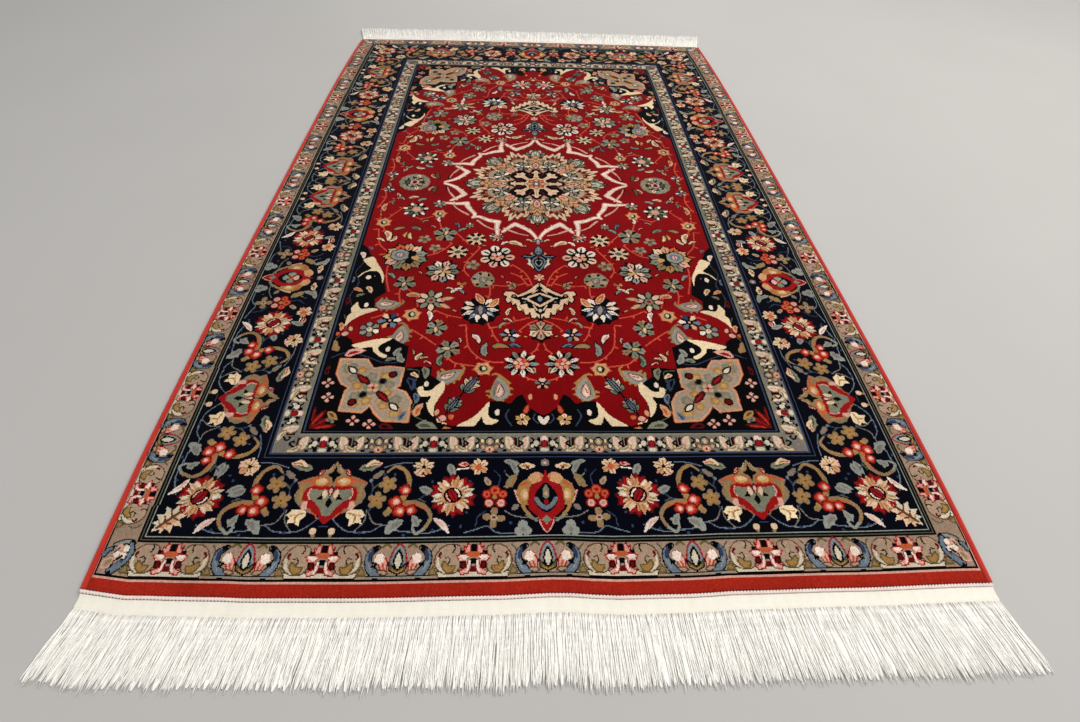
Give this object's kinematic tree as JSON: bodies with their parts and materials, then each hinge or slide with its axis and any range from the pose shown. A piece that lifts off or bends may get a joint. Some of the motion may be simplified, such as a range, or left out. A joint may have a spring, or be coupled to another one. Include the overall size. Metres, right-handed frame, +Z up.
{
  "type": "persian rug",
  "caption": "Flat hand-knotted wool floor rug with a central medallion, navy floral border, red overcast sides and white cotton fringe at both ends.",
  "frame": {"origin": "middle of the flat underside, on the surface that the rug lies on", "axes": "+Y along the rug's length, +X across it, +Z up out of the pile"},
  "size_m": [1.042, 1.8221, 0.008],
  "materials": {
    "wool_pile": "clipped wool pile with a woven floral pattern in crimson, navy, cream, tan and blue-grey",
    "red_wool": "overcast wool",
    "twined_yarn": "twined pale and purple-grey yarn",
    "white_cotton": "matt twisted cotton yarn"
  },
  "bodies": {
    "root": {"rug_cloth": "wool_pile", "selvedge_left": "red_wool", "selvedge_right": "red_wool", "end_cord_near": "twined_yarn", "end_cord_far": "twined_yarn", "fringe_near": "white_cotton", "fringe_far": "white_cotton"}
  },
  "joints": []
}
